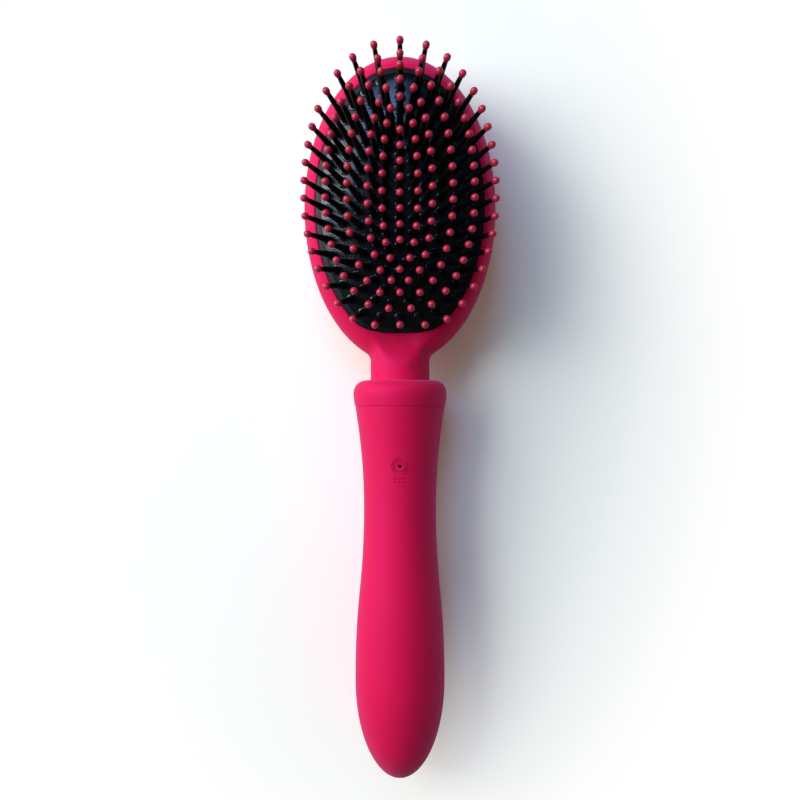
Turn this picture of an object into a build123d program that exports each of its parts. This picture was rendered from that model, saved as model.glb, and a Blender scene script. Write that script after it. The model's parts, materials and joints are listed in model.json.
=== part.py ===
from build123d import *
import os
from math import atan2, cos, degrees, hypot, pi, radians, sin, sqrt

# Vibrating styling brush, lying on its back with the bristles up.
# +Y runs from the handle's round tip to the head's crown, +X is the width and +Z is up.
# A "station" is a distance along the brush from the handle's tip.

# Overall
overall_length = 250.0
head_depth = 16.2
axis_height = head_depth

# Handle's silicone sleeve
bulge_station = 34.0
bulge_radius = 15.45
waist_station = 91.0
waist_radius = 12.5
seam_station = 128.8
mouth_radius = 15.55
mouth_slope = 0.167
sleeve_wall = 1.6
# Grip's curve between bulge and waist, and waist and mouth: share of the way, share of the rise
taper_shape = ((0.39, 0.76), (0.665, 0.29))
flare_shape = ((0.6, 0.33),)

# Handle's inner shell
shell_fit = 0.1
shell_wall = 1.8
parting_gap = 0.04
rib_width = 2.0

# Motor and its weight
motor_start = 18.0
motor_length = 26.0
motor_radius = 6.5
motor_wall = 0.6
motor_cap_thickness = 1.2
motor_cap_fit = 0.02
bush_radius = 2.2
bush_proud = 1.5
bush_hidden = 1.0
shaft_seat = 0.8
shaft_end_play = 0.2
boot_wall = 1.5
boot_fit = 0.05
boot_setback = 1.0
shaft_radius = 1.0
shaft_clearance = 0.05
shaft_overhang = 10.0
armature_radius = 4.4
armature_length = 14.0
weight_radius = 5.2
weight_length = 7.0
weight_setback = 0.5
weight_fit = 0.01
weight_hub_radius = 2.2

# Battery
battery_start = 49.0
battery_length = 41.5
battery_radius = 7.0
battery_edge = 0.8
cradle_fit = 0.1
foam_wall = 2.3
foam_length = 8.0

# Circuit board and what sits on it
board_gap = 2.5
board_end_gap = 3.6
board_width = 13.2
board_thickness = 1.0
board_top = -4.0
rail_depth = 0.9
rail_height = 2.6
rail_fit = 0.1
switch_side = 6.0
switch_height = 3.1
plunger_radius = 1.6
plunger_proud = 1.0
plunger_hidden = 0.9
plunger_clearance = 0.05
plunger_play = 0.3
chip_side = 5.0
chip_height = 1.1
chip_gap = 1.9

# Buttons
upper_button_station = 114.9
button_spacing = 14.4
button_radius = 5.0
button_groove = 0.3
button_stem_radius = 2.4
button_travel = 0.6
button_well_gap = 0.6

# Charging port
port_station = 108.6
port_radius = 0.6
jack_floor = 3.0
jack_radius = 3.0
jack_fit = 0.1
contact_radius = 0.9
contact_drop = 0.3
contact_fit = 0.02

# Leads
lead_radius = 0.45
lead_spacing = 1.3
lead_pad_inset = 1.2
lead_pad_pitch = 2.2
lead_side = 8.1
lead_bend = 2.5
lead_start = 4.4
lead_stub = 1.2
lead_slot_width = 2.6
lead_entry = 0.4
lead_exit = 0.4
lead_reach = 6.5
motor_lead_landing = 2.5
battery_lead_landing = 3.5

# Screws
shell_screw_station = 46.4
shell_screw_spread = 9.9
board_screw_station = 118.6
board_screw_spread = 8.75
boss_radius = 1.7
screw_radius = 0.8
screw_head_radius = 1.4
screw_head_height = 1.0
screw_reach = 3.0
screw_seat = 4.6
screw_fit = 0.1
thread_fit = 0.02

# Spigot that the head pushes on to
spigot_radius = 10.5
spigot_wall = 2.2
spigot_tip_station = 134.6
spigot_flange_radius = 11.2
spigot_flange_thickness = 1.9
spigot_flange_station = 124.6
spigot_fit = 0.1
ring_station = 132.0
ring_section = 0.7
ring_proud = 0.07

# Collar under the head
seam_gap = 0.15
socket_clearance = 0.17
collar_edge_radius = 15.7
collar_radius = 16.15
collar_crown = 4.4
collar_top_station = 137.7
collar_cover_wall = 2.1
collar_cover_top = 0.9
socket_ceiling = 1.6
cover_fit = 0.05

# Neck and head
neck_radius = 10.2
neck_wall = 1.6
neck_fit = 0.1
neck_screw_spread = 4.6
neck_screw_radius = 1.1
neck_screw_length = 9.0
neck_screw_head_radius = 1.9
neck_screw_head_height = 1.3
head_half_width = 33.15
head_centre_station = 197.4
head_low_reach = 53.7
head_wall = 1.6
core_fit = 0.1
core_wall = 2.8
rim_height = 6.9
scoop_foot_station = 153.4
scoop_top_station = 144.4

# Pad set in the head's front
pad_half_width = 28.9
pad_half_length = 47.0
pad_foot_station = 154.0
pad_corner = 3.2
least_corner = 0.6
flange_depth = 3.2
flange_thickness = 1.5
flange_fit = 0.3
frame_fit = 0.15
frame_width = 1.7
dome_gap = 0.25
dome_sag = 6.0
dome_wall = 1.8
dome_side_wall = 0.7
bowl_seat = 2.0

# Pins and their ball tips
pin_length = 17.6
pin_foot_radius = 1.1
pin_tip_radius = 0.65
pin_hole_fit = 0.04
pin_head_radius = 1.4
pin_head_height = 0.8
pin_head_gap = 0.52
ball_radius = 1.25
ball_seat_depth = 1.3
ball_seat_radius = 0.45
fan_out = 0.236
edge_fan = 0.036
crown_fan = 0.44
fan_along = 0.125
crown_fan_along = 0.153
fan_station = 187.5
widest_station = 195.8
ring_squareness = 2.07
# Each ring of pins: half width, top station, station of its straight foot, reach of its lower half, and how
# much wider apart its pins stand at its ends than at its sides, as a share
pin_rings = (
    (24.6, 240.6, 158.9, 40.2, 0.24),
    (19.4, 236.5, 163.6, 34.0, 0.24),
    (13.85, 233.1, 168.1, 30.5, 0.12),
    (8.5, 228.7, 171.5, 26.4, -0.1),
    (4.7, 223.6, 174.6, 21.2, -0.15),
)
ring_pin_counts = (38, 37, 32, 27, 22)
column_foot_station = 183.0
column_top_station = 214.0
column_count = 8

# Worked out from the sizes above
head_top_reach = overall_length - head_centre_station
pad_height = rim_height - flange_depth
dome_apex = rim_height + dome_sag
shell_inset = sleeve_wall + shell_fit
cavity_inset = shell_inset + shell_wall
board_bottom = board_top - board_thickness
motor_end = motor_start + motor_length
battery_end = battery_start + battery_length
board_start = battery_end + board_gap
board_length = spigot_flange_station - board_end_gap - board_start
collar_start = seam_station + seam_gap
socket_top = collar_top_station - collar_cover_top
socket_radius = collar_radius - collar_cover_wall
socket_roof = socket_top - socket_ceiling
core_neck_radius = neck_radius - neck_wall - neck_fit
lower_button_station = upper_button_station - button_spacing
crown_radius = (pad_half_width**2 + dome_sag**2) / (2 * dome_sag)
crown_stretch = pad_half_length / pad_half_width
hole_reach = 2 * dome_wall
switch_bore_depth = plunger_hidden + button_travel + plunger_play


def along(station):
    """Place along Y of a station measured from the handle's tip."""
    return station - overall_length / 2


def up(height):
    """Place along Z of a height above the brush's axis."""
    return axis_height + height


long_axis = Axis((0, 0, axis_height), (0, 1, 0))
profile_plane = Plane.XY.offset(axis_height)
side_plane = Plane(origin=(0, 0, axis_height), x_dir=(0, 1, 0), z_dir=(1, 0, 0))


def across(station):
    """Plane square to the brush's axis, facing the head, with its own y pointing up."""
    return Plane(origin=(0, along(station), axis_height), x_dir=(-1, 0, 0), z_dir=(0, 1, 0))


def level(height):
    """Level plane at a height above the brush's axis."""
    return Plane.XY.offset(up(height))


def level_at(height, station):
    """Level plane centred over a station, facing the front."""
    return Plane(origin=(0, along(station), up(height)))


def facing_back(depth, station, x=0):
    """Level plane at a depth below the axis, centred at a station and facing the back."""
    return Plane(origin=(x, along(station), up(-depth)), x_dir=(1, 0, 0), z_dir=(0, 0, -1))


def across_at(station, x):
    """Plane square to the brush's axis at a station, centred off to one side."""
    return Plane(origin=(x, along(station), axis_height), x_dir=(-1, 0, 0), z_dir=(0, 1, 0))


def save(part, label):
    """Name a finished piece and write it out."""
    part.label = label
    export_step(part, f"parts/{label}.step")


def rod(start, end, radius, bore=0.0):
    """Round rod or tube on the brush's axis between two stations."""
    with BuildPart() as piece:
        with BuildSketch(across(start)):
            Circle(radius)
            if bore:
                Circle(bore, mode=Mode.SUBTRACT)
        extrude(amount=end - start)
    return piece.part


def grip(inset):
    """Solid of the handle's outer shape, drawn in by an inset."""
    shape = [(bulge_radius - inset, along(bulge_station))]
    for way, rise in taper_shape:
        radius = waist_radius + rise * (bulge_radius - waist_radius)
        shape.append((radius - inset, along(bulge_station + way * (waist_station - bulge_station))))
    shape.append((waist_radius - inset, along(waist_station)))
    for way, rise in flare_shape:
        radius = waist_radius + rise * (mouth_radius - waist_radius)
        shape.append((radius - inset, along(waist_station + way * (seam_station - waist_station))))
    shape.append((mouth_radius - inset, along(seam_station)))
    nose = []
    for turn in (0, 22.5, 45, 67.5, 90):
        swing = radians(turn)
        reach = (bulge_station - inset) * cos(swing)
        nose.append(((bulge_radius - inset) * sin(swing), along(bulge_station) - reach))
    with BuildPart() as solid:
        with BuildSketch(profile_plane):
            with BuildLine():
                tip = Spline(*nose, tangents=[(1, 0), (0, 1)])
                side = Spline(*shape, tangents=[(0, 1), (mouth_slope, 1)])
                Polyline(side @ 1, (0, along(seam_station)), tip @ 0)
            make_face()
        revolve(axis=long_axis)
    return solid.part


def ovoid(inset):
    """Egg of the head, flattened front to back, drawn in by an inset."""
    half_width = head_half_width - inset
    with BuildPart() as egg:
        with BuildSketch():
            with BuildLine():
                low = EllipticalCenterArc((0, 0), half_width, head_low_reach - inset, 270, arc_size=90)
                top = EllipticalCenterArc((0, 0), half_width, head_top_reach - inset, 0, arc_size=90)
                Line(top @ 1, low @ 0)
            make_face()
        revolve(axis=Axis.Y)
        scale(by=(1, 1, (head_depth - inset) / half_width))
    return egg.part.moved(Location((0, along(head_centre_station), axis_height)))


def pad_outline(inset):
    """Egg outline of the pad with its straight foot, drawn in by an inset."""
    foot = pad_foot_station - head_centre_station + inset
    with BuildSketch() as outline:
        Ellipse(pad_half_width - inset, pad_half_length - inset)
        with Locations((0, foot)):
            Rectangle(
                2 * pad_half_width,
                3 * pad_half_length,
                align=(Align.CENTER, Align.MIN),
                mode=Mode.INTERSECT,
            )
        fillet(outline.vertices(), max(pad_corner - inset, least_corner))
    return outline.sketch


def pad_block(inset, low, high, hollow=None):
    """Slab or ring of the pad's outline between two heights above the axis."""
    with BuildPart() as block:
        with BuildSketch(Plane(origin=(0, along(head_centre_station), up(low)))):
            add(pad_outline(inset))
            if hollow is not None:
                add(pad_outline(hollow), mode=Mode.SUBTRACT)
        extrude(amount=high - low)
    return block.part


def pad_crown(drop):
    """Long ball under the pad, whose top is the cushion's crowned face lowered by a drop."""
    with BuildPart() as ball:
        with BuildSketch():
            Circle(crown_radius - drop)
            side = 2 * crown_radius
            Rectangle(side, side, align=(Align.MIN, Align.CENTER), mode=Mode.INTERSECT)
        revolve(axis=Axis.Y)
        scale(by=(1, crown_stretch, 1))
    return ball.part.moved(Location((0, along(head_centre_station), up(dome_apex - crown_radius))))


def crown_height(x, station):
    """Height of the cushion's face above the brush's axis."""
    lengthwise = (station - head_centre_station) / crown_stretch
    return dome_apex - crown_radius + sqrt(crown_radius**2 - x**2 - lengthwise**2)


def ring_places(half_width, top, foot, low_reach, spread, count):
    """Places spaced round one egg-shaped ring, from its top: (x, station) pairs."""
    steps = 720
    outline = []
    for step in range(steps + 1):
        turn = 2 * pi * step / steps
        power = 2 / ring_squareness
        x = half_width * abs(sin(turn)) ** power * (1 if sin(turn) >= 0 else -1)
        if cos(turn) > 0:
            station = widest_station + (top - widest_station) * cos(turn) ** power
        else:
            station = max(widest_station - low_reach * abs(cos(turn)) ** power, foot)
        outline.append((x, station))
    lengths = [0.0]
    for step, ((x0, y0), (x1, y1)) in enumerate(zip(outline, outline[1:])):
        closeness = 1 - spread * cos(2 * pi * (step + 0.5) / steps) ** 2
        lengths.append(lengths[-1] + hypot(x1 - x0, y1 - y0) * closeness)
    places = []
    for index in range(count):
        wanted = lengths[-1] * index / count
        step = max(i for i in range(steps) if lengths[i] <= wanted)
        share = (wanted - lengths[step]) / (lengths[step + 1] - lengths[step])
        x0, y0 = outline[step]
        x1, y1 = outline[step + 1]
        places.append((x0 + share * (x1 - x0), y0 + share * (y1 - y0)))
    return places


def pin_planes():
    """Plane at each pin's foot on the cushion, facing the way the pin points."""
    places = []
    for ring, count in zip(pin_rings, ring_pin_counts):
        places += ring_places(*ring, count)
    pitch = (column_top_station - column_foot_station) / (column_count - 1)
    places += [(0.0, column_foot_station + pitch * index) for index in range(column_count)]
    planes = []
    for x, station in places:
        crownward = max(station - fan_station, 0) / (pin_rings[0][1] - fan_station)
        fan = (fan_out + edge_fan * (x / pin_rings[0][0]) ** 4) * (1 + crown_fan * crownward**2)
        lean_x = fan * x / pin_length
        lean_y = (crown_fan_along if crownward > 0 else fan_along) * (station - fan_station) / pin_length
        aim = Vector(lean_x, lean_y, sqrt(1 - lean_x**2 - lean_y**2))
        root = (x, along(station), up(crown_height(x, station)))
        planes.append(Plane(origin=root, x_dir=(1, 0, -aim.X / aim.Z), z_dir=aim))
    return planes


def lead(route):
    """Round lead along straight runs joined by arcs."""
    with BuildPart() as wire:
        with BuildLine() as path:
            FilletPolyline(*route, radius=lead_bend)
        start = path.line @ 0
        with BuildSketch(Plane(origin=start, z_dir=path.line % 0)):
            Circle(lead_radius)
        sweep(path=path.line)
    return wire.part


os.makedirs("parts", exist_ok=True)

# Handle's silicone sleeve: a closed-ended tube with two button holes and the port's pin hole
with BuildPart() as handle_sleeve:
    add(grip(0))
    add(grip(sleeve_wall), mode=Mode.SUBTRACT)
    for station in (upper_button_station, lower_button_station):
        with BuildSketch(facing_back(0, station)):
            Circle(button_radius + button_groove)
        extrude(amount=bulge_radius, mode=Mode.SUBTRACT)
    with BuildSketch(level_at(0, port_station)):
        Circle(port_radius)
    extrude(amount=bulge_radius, mode=Mode.SUBTRACT)
save(handle_sleeve.part, "handle_sleeve")

# Inner shell's blank: ribs for motor and battery, rails for the board, ledges for the spigot
boot_radius = motor_radius + boot_fit + boot_wall
spigot_flange_end = spigot_flange_station + spigot_flange_thickness
rib_list = (
    (motor_start + rib_width, boot_radius + cradle_fit),
    (motor_end - 2 * rib_width, boot_radius + cradle_fit),
    (battery_start + rib_width, battery_radius + cradle_fit),
    (battery_end - 2 * rib_width, battery_radius + cradle_fit),
    (spigot_flange_station - spigot_fit - rib_width, spigot_radius - spigot_wall),
    (spigot_flange_end + spigot_fit, spigot_radius + spigot_fit),
)
with BuildPart() as ribs:
    for station, bore in rib_list:
        add(rod(station, station + rib_width, bulge_radius, bore))
    for side in (-1, 1):
        middle = along(board_start + board_length / 2)
        with Locations((side * bulge_radius, middle, up(board_bottom - rail_fit))):
            Box(
                2 * bulge_radius - board_width + 2 * rail_depth,
                board_length - 2 * rib_width,
                rail_height,
                align=(Align.CENTER, Align.CENTER, Align.MAX),
            )
    add(grip(shell_inset + shell_wall / 2), mode=Mode.INTERSECT)


# Inner shell's blank with its bosses, button wells, port hole, lead slots and screw holes
screw_places = (
    (shell_screw_spread, shell_screw_station),
    (-shell_screw_spread, shell_screw_station),
    (board_screw_spread, board_screw_station),
    (-board_screw_spread, board_screw_station),
)
button_stations = {"upper": upper_button_station, "lower": lower_button_station}
with BuildPart() as bosses:
    for x, station in screw_places:
        with Locations((x, along(station), axis_height)):
            Cylinder(boss_radius, 2 * bulge_radius)
    add(grip(shell_inset + shell_wall / 2), mode=Mode.INTERSECT)

with BuildPart() as shell:
    add(grip(shell_inset))
    add(grip(cavity_inset), mode=Mode.SUBTRACT)
    add(ribs.part)
    add(bosses.part)
    for station in button_stations.values():
        with BuildSketch(facing_back(0, station)):
            Circle(button_radius + button_well_gap)
        extrude(amount=bulge_radius, mode=Mode.SUBTRACT)
    with BuildSketch(level_at(0, port_station)):
        Circle(jack_radius + jack_fit)
    extrude(amount=bulge_radius, mode=Mode.SUBTRACT)
    for side in (-1, 1):
        with Locations((side * lead_side, along(battery_start + battery_length / 2), axis_height)):
            Box(lead_slot_width, battery_length, lead_slot_width, mode=Mode.SUBTRACT)
    for x, station in screw_places:
        with BuildSketch(facing_back(-screw_reach, station, x)):
            Circle(screw_radius + thread_fit)
        extrude(amount=screw_reach + screw_seat, mode=Mode.SUBTRACT)
        with BuildSketch(facing_back(screw_seat, station, x)):
            Circle(screw_head_radius + screw_fit)
        extrude(amount=bulge_radius, mode=Mode.SUBTRACT)

# Front half of the inner shell
with BuildPart() as chassis_front:
    add(shell.part)
    split(bisect_by=level(parting_gap / 2), keep=Keep.TOP)
save(chassis_front.part, "chassis_front")

# Back half of the inner shell
with BuildPart() as chassis_back:
    add(shell.part)
    split(bisect_by=level(-parting_gap / 2), keep=Keep.BOTTOM)
save(chassis_back.part, "chassis_back")

# Screws that hold the two halves together, driven from the back
with BuildPart() as chassis_screws:
    for x, station in screw_places:
        with BuildSketch(facing_back(screw_seat, station, x)):
            Circle(screw_head_radius)
        extrude(amount=screw_head_height)
        with BuildSketch(facing_back(-screw_reach, station, x)):
            Circle(screw_radius)
        extrude(amount=screw_reach + screw_seat)
save(chassis_screws.part, "chassis_screws")

# Spigot: a cup with a trapped flange and a groove for its ring
groove_radius = spigot_radius + ring_proud - 2 * ring_section
with BuildPart() as spigot:
    add(rod(spigot_flange_station, spigot_tip_station, spigot_radius))
    add(rod(spigot_flange_station, spigot_flange_end, spigot_flange_radius))
    add(rod(spigot_flange_end, spigot_tip_station, spigot_radius - spigot_wall), mode=Mode.SUBTRACT)
    add(
        rod(ring_station - ring_section, ring_station + ring_section, spigot_flange_radius, groove_radius),
        mode=Mode.SUBTRACT,
    )
    chamfer(spigot.edges().group_by(Axis.Y)[-1].sort_by(SortBy.RADIUS)[-1], ring_section)
save(spigot.part, "spigot")

# Rubber ring in the spigot's groove
with BuildPart() as spigot_ring:
    with BuildSketch(profile_plane):
        with Locations((spigot_radius + ring_proud - ring_section, along(ring_station))):
            Circle(ring_section)
    revolve(axis=long_axis)
save(spigot_ring.part, "spigot_ring")

# Motor: can with a bushed front, closed at the back by a cap that holds the shaft's end
motor_bore = motor_radius - motor_wall
with BuildPart() as motor_can:
    add(rod(motor_start, motor_end, motor_radius))
    add(rod(motor_start + motor_wall, motor_end, motor_bore), mode=Mode.SUBTRACT)
    add(rod(motor_start, motor_start + motor_wall, bush_radius), mode=Mode.SUBTRACT)
save(motor_can.part, "motor_can")

bush_start = motor_start - bush_proud
with BuildPart() as motor_bush:
    add(rod(bush_start, motor_start + bush_hidden, bush_radius, shaft_radius + shaft_clearance))
save(motor_bush.part, "motor_bush")

with BuildPart() as motor_end_cap:
    add(rod(motor_end - motor_cap_thickness, motor_end, motor_bore - motor_cap_fit))
    cap_face = motor_end - motor_cap_thickness
    add(rod(cap_face, cap_face + shaft_seat, shaft_radius + shaft_clearance), mode=Mode.SUBTRACT)
save(motor_end_cap.part, "motor_end_cap")

# Rubber boot between the motor and the cradle ribs
with BuildPart() as motor_boot:
    add(rod(motor_start + boot_setback, motor_end - boot_setback, boot_radius, motor_radius + boot_fit))
save(motor_boot.part, "motor_boot")

# Shaft, armature and off-centre weight turn together
shaft_start = motor_start - shaft_overhang
with BuildPart() as motor_shaft:
    add(rod(shaft_start, cap_face + shaft_seat - shaft_end_play, shaft_radius))
save(motor_shaft.part, "motor_shaft")

armature_start = motor_start + (motor_length - armature_length) / 2
with BuildPart() as motor_armature:
    add(rod(armature_start, armature_start + armature_length, armature_radius, shaft_radius + weight_fit))
save(motor_armature.part, "motor_armature")

with BuildPart() as eccentric_weight:
    with BuildSketch(across(shaft_start + weight_setback)):
        Circle(weight_radius)
        Rectangle(2 * weight_radius, weight_radius, align=(Align.CENTER, Align.MAX), mode=Mode.INTERSECT)
        Circle(weight_hub_radius)
        Circle(shaft_radius + weight_fit, mode=Mode.SUBTRACT)
    extrude(amount=weight_length)
save(eccentric_weight.part, "eccentric_weight")

# Battery and the foam wrapped round its middle
with BuildPart() as battery_cell:
    add(rod(battery_start, battery_end, battery_radius))
    fillet(battery_cell.edges(), battery_edge)
save(battery_cell.part, "battery_cell")

foam_start = battery_start + (battery_length - foam_length) / 2
foam_bore = battery_radius + boot_fit
with BuildPart() as battery_pads:
    add(rod(foam_start, foam_start + foam_length, foam_bore + foam_wall, foam_bore))
    for side in (-1, 1):
        with Locations((side * (lead_side + foam_wall), along(foam_start + foam_length / 2), axis_height)):
            Box(lead_slot_width + 2 * foam_wall, foam_length, lead_slot_width, mode=Mode.SUBTRACT)
save(battery_pads.part, "battery_pads")

# Circuit board on its rails
with BuildPart() as circuit_board:
    with Locations((0, along(board_start + board_length / 2), up(board_top))):
        Box(board_width, board_length, board_thickness, align=(Align.CENTER, Align.CENTER, Align.MAX))
save(circuit_board.part, "circuit_board")

with BuildPart() as controller_chip:
    chip_station = port_station + jack_radius + chip_gap + chip_side / 2
    with Locations((0, along(chip_station), up(board_top))):
        Box(chip_side, chip_side, chip_height, align=(Align.CENTER, Align.CENTER, Align.MIN))
save(controller_chip.part, "controller_chip")

# Each button: a switch on the board, its plunger and the rubber key over it
switch_face = -board_bottom + switch_height
plunger_face = switch_face + plunger_proud
for name, station in button_stations.items():
    with BuildPart() as switch:
        with BuildSketch(facing_back(-board_bottom, station)):
            Rectangle(switch_side, switch_side)
        extrude(amount=switch_height)
        with BuildSketch(facing_back(switch_face - switch_bore_depth, station)):
            Circle(plunger_radius + plunger_clearance)
        extrude(amount=switch_bore_depth, mode=Mode.SUBTRACT)
    save(switch.part, f"{name}_switch")

    with BuildPart() as plunger:
        with BuildSketch(facing_back(switch_face - plunger_hidden, station)):
            Circle(plunger_radius)
        extrude(amount=plunger_hidden + plunger_proud)
    save(plunger.part, f"{name}_plunger")

    with BuildPart() as key_face:
        with BuildSketch(facing_back(0, station)):
            Circle(button_radius)
        extrude(amount=bulge_radius)
        add(grip(0), mode=Mode.INTERSECT)
        add(grip(sleeve_wall), mode=Mode.SUBTRACT)
    with BuildPart() as key_stem:
        with BuildSketch(facing_back(plunger_face, station)):
            Circle(button_stem_radius)
        extrude(amount=bulge_radius)
        add(grip(sleeve_wall / 2), mode=Mode.INTERSECT)
    with BuildPart() as button:
        add(key_face.part)
        add(key_stem.part)
    save(button.part, f"{name}_button")

# Charging jack on the board, under the port's pin hole
with BuildPart() as charge_jack:
    with BuildSketch(level_at(board_top, port_station)):
        Circle(jack_radius)
    extrude(amount=bulge_radius)
    add(grip(sleeve_wall + shell_fit), mode=Mode.INTERSECT)
    with BuildSketch(level_at(board_top, port_station)):
        Circle(contact_radius)
    extrude(amount=jack_floor - board_top, mode=Mode.SUBTRACT)
    with BuildSketch(level_at(jack_floor, port_station)):
        Circle(port_radius)
    extrude(amount=bulge_radius, mode=Mode.SUBTRACT)
save(charge_jack.part, "charge_jack")

# Contact that stands on the board and ends just under the pin hole
with BuildPart() as charge_contact:
    with BuildSketch(level_at(board_top, port_station)):
        Circle(contact_radius - contact_fit)
    extrude(amount=jack_floor - contact_drop - board_top)
save(charge_contact.part, "charge_contact")

# Leads: two from the motor past the battery, and two from the battery, to the board
lead_height = board_top + lead_radius
with BuildPart() as motor_leads:
    for index in (0, 1):
        height = up((0.5 - index) * lead_spacing)
        pad_x = board_width / 2 - lead_pad_inset - (1 - index) * lead_pad_pitch
        add(
            lead(
                [
                    (lead_start, along(motor_end), height),
                    (lead_start, along(motor_end + lead_stub), height),
                    (lead_side, along(battery_start - lead_entry), height),
                    (lead_side, along(battery_end - lead_exit), height),
                    (pad_x, along(board_start + motor_lead_landing), up(lead_height)),
                    (pad_x, along(board_start + lead_reach), up(lead_height)),
                ]
            )
        )
save(motor_leads.part, "motor_leads")

with BuildPart() as battery_leads:
    for index in (0, 1):
        height = up((0.5 - index) * lead_spacing)
        pad_x = -board_width / 2 + lead_pad_inset + (1 - index) * lead_pad_pitch
        add(
            lead(
                [
                    (-lead_start, along(battery_end), height),
                    (-lead_start, along(battery_end + lead_stub), height),
                    (pad_x, along(board_start + battery_lead_landing), up(lead_height)),
                    (pad_x, along(board_start + lead_reach), up(lead_height)),
                ]
            )
        )
save(battery_leads.part, "battery_leads")

# Collar under the head: a stiff socket that slides on the spigot, and its silicone cover
with BuildPart() as collar_socket:
    add(rod(collar_start + seam_gap, socket_top, socket_radius))
    add(rod(collar_start + seam_gap, socket_roof, spigot_radius + socket_clearance), mode=Mode.SUBTRACT)
    for side in (-1, 1):
        with BuildSketch(across_at(socket_roof, side * neck_screw_spread)):
            Circle(neck_screw_radius + thread_fit)
        extrude(amount=socket_ceiling, mode=Mode.SUBTRACT)
save(collar_socket.part, "collar_socket")

with BuildPart() as collar_cover:
    with BuildSketch(profile_plane):
        with BuildLine():
            widest = (collar_radius, along(collar_top_station - collar_crown))
            foot = (collar_edge_radius, along(collar_start))
            flank = TangentArc(widest, foot, tangent=(0, -1))
            brow = (collar_radius - collar_crown, along(collar_top_station))
            crown = TangentArc(widest, brow, tangent=(0, 1))
            Polyline(flank @ 1, (0, along(collar_start)), (0, along(collar_top_station)), crown @ 1)
        make_face()
    revolve(axis=long_axis)
    add(rod(collar_start, socket_top, socket_radius + cover_fit), mode=Mode.SUBTRACT)
    add(rod(socket_top, collar_top_station, neck_radius + cover_fit), mode=Mode.SUBTRACT)
save(collar_cover.part, "collar_cover")

with BuildPart() as neck_screws:
    for side in (-1, 1):
        with BuildSketch(across_at(socket_roof - neck_screw_head_height, side * neck_screw_spread)):
            Circle(neck_screw_head_radius)
        extrude(amount=neck_screw_head_height)
        with BuildSketch(across_at(socket_roof, side * neck_screw_spread)):
            Circle(neck_screw_radius)
        extrude(amount=neck_screw_length)
save(neck_screws.part, "neck_screws")


def front_cut(drop):
    """Block that clears the head's front: level over the pad, sweeping up to the neck's top."""
    foot = (along(scoop_foot_station), rim_height - drop)
    brow = (along(scoop_top_station), neck_radius - drop)
    far = along(overall_length) + head_depth
    high = 3 * head_depth
    with BuildPart() as block:
        with BuildSketch(side_plane):
            with BuildLine():
                scoop = TangentArc(foot, brow, tangent=(-1, 0))
                slope = scoop % 1
                rise = high - neck_radius + drop
                peak = (scoop @ 1).X + slope.X / slope.Y * rise
                Polyline(scoop @ 1, (peak, high), (far, high), (far, rim_height - drop), foot)
            make_face()
        extrude(amount=1.5 * head_half_width, both=True)
    return block.part


# Room inside the head's sleeve
with BuildPart() as head_room:
    add(ovoid(head_wall))
    add(rod(socket_top, head_centre_station, neck_radius - neck_wall))
    add(front_cut(head_wall), mode=Mode.SUBTRACT)
    add(pad_block(0, pad_height, rim_height))

# Head's silicone sleeve: egg and neck in one, open over the pad
with BuildPart() as head_sleeve:
    add(ovoid(0))
    add(rod(socket_top, head_centre_station, neck_radius))
    add(front_cut(0), mode=Mode.SUBTRACT)
    add(head_room.part, mode=Mode.SUBTRACT)
save(head_sleeve.part, "head_sleeve")

# Hollow of the bowl under the pad
with BuildPart() as bowl:
    add(ovoid(head_wall + core_fit + core_wall))
    add(pad_block(bowl_seat, -head_depth, pad_height), mode=Mode.INTERSECT)

# Stiff core: bowl under the pad and the neck's stem, with its screw holes
with BuildPart() as head_core:
    add(ovoid(head_wall + core_fit))
    add(rod(socket_top, head_centre_station, core_neck_radius))
    add(front_cut(head_wall + core_fit), mode=Mode.SUBTRACT)
    add(pad_block(-core_fit, pad_height, rim_height), mode=Mode.SUBTRACT)
    add(bowl.part, mode=Mode.SUBTRACT)
    for side in (-1, 1):
        with BuildSketch(across_at(socket_top, side * neck_screw_spread)):
            Circle(neck_screw_radius + thread_fit)
        extrude(amount=neck_screw_length - socket_ceiling, mode=Mode.SUBTRACT)
save(head_core.part, "head_core")

# Frame that holds the cushion's edge down
frame_foot = pad_height + flange_thickness
with BuildPart() as pad_frame:
    add(pad_block(frame_fit, frame_foot, rim_height, frame_fit + frame_width))
save(pad_frame.part, "pad_frame")

# Air space under the cushion
dome_edge = frame_fit + frame_width + dome_gap
dome_ceiling = dome_apex + dome_sag
with BuildPart() as air:
    add(pad_crown(dome_wall))
    add(pad_block(dome_edge + dome_side_wall, pad_height, dome_ceiling), mode=Mode.INTERSECT)

# Rubber cushion: crowned sheet on a flange, with a hole for each pin
pins = pin_planes()
with BuildPart() as cushion:
    add(pad_crown(0))
    add(pad_block(dome_edge, pad_height, dome_ceiling), mode=Mode.INTERSECT)
    add(pad_block(flange_fit, pad_height, frame_foot))
    add(air.part, mode=Mode.SUBTRACT)
    for plane in pins:
        with BuildSketch(plane.offset(-hole_reach)):
            Circle(pin_foot_radius + pin_hole_fit)
    extrude(amount=2 * hole_reach, mode=Mode.SUBTRACT)
save(cushion.part, "cushion")

# One bristle pin, standing on its own foot: head under the rubber, tapered shank, stub in the ball
ball_flat = sqrt(ball_radius**2 - pin_tip_radius**2)
pin_end = pin_length - ball_flat
with BuildPart() as pin:
    with BuildSketch(Plane.XZ):
        with BuildLine():
            head_top = -dome_wall - pin_head_gap
            Polyline(
                (0, head_top - pin_head_height),
                (pin_head_radius, head_top - pin_head_height),
                (pin_head_radius, head_top),
                (pin_foot_radius, head_top),
                (pin_foot_radius, 0),
                (pin_tip_radius, pin_end),
                (ball_seat_radius, pin_end),
                (ball_seat_radius, pin_end + ball_seat_depth),
                (0, pin_end + ball_seat_depth),
                close=True,
            )
        make_face()
    revolve(axis=Axis.Z)

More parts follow.
